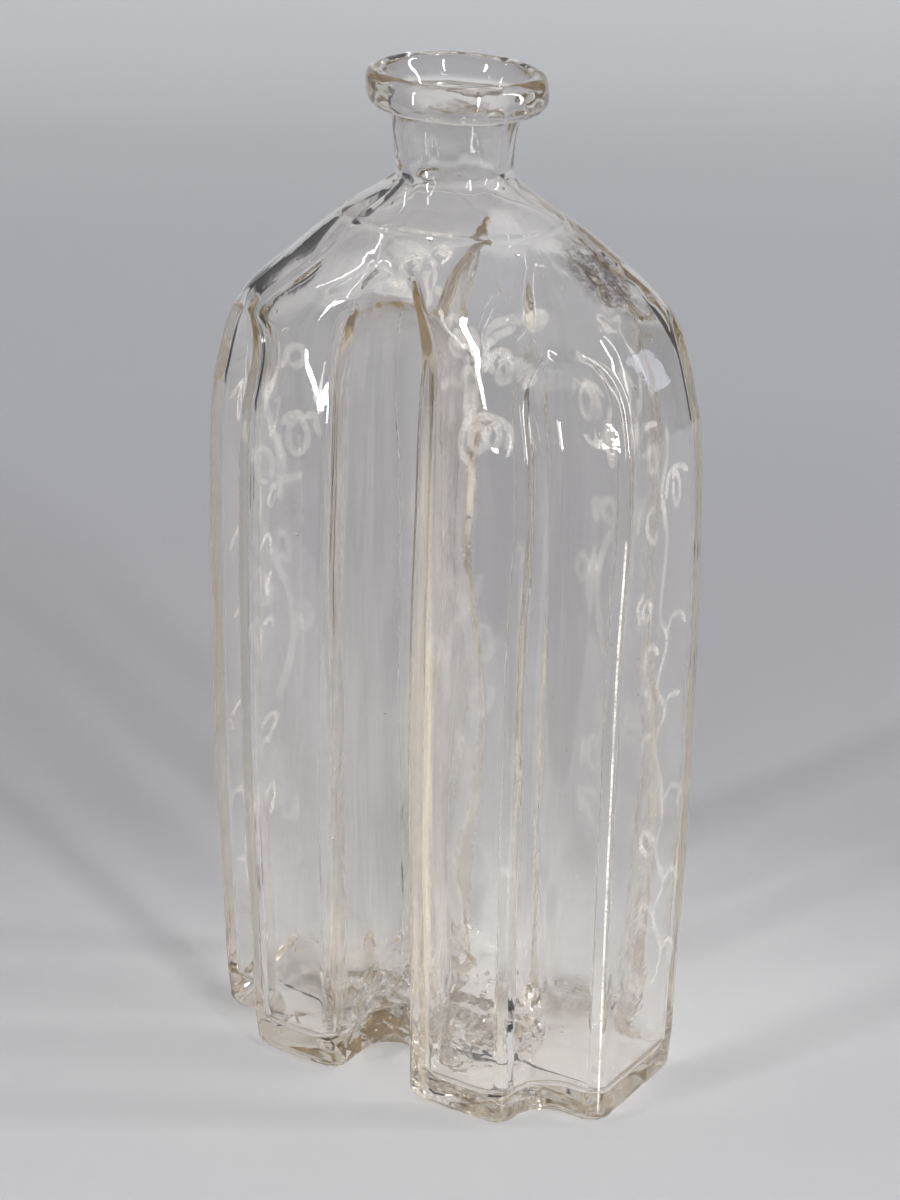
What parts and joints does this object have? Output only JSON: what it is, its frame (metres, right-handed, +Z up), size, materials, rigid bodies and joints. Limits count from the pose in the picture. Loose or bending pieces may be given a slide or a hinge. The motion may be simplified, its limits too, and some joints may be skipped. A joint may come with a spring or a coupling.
{
  "type": "glass bottle",
  "caption": "Tall mould-blown glass bottle with grooved wide faces, hollow fluted corners, domed shoulder, short neck and thick ring lip.",
  "frame": {"origin": "centre of the base, on the surface that the bottle stands on", "axes": "+Z up the neck, X along the wide faces, wide front face towards -Y"},
  "size_m": [0.1132, 0.0644, 0.2396],
  "materials": {
    "blown_glass": "fire-polished clear glass with wheel-engraved vines",
    "tooled_glass": "tooled clear glass, slightly uneven",
    "torn_glass": "rough broken glass"
  },
  "bodies": {
    "root": {"body": "blown_glass", "lip_ring": "tooled_glass", "pontil_scar": "torn_glass"}
  },
  "joints": []
}
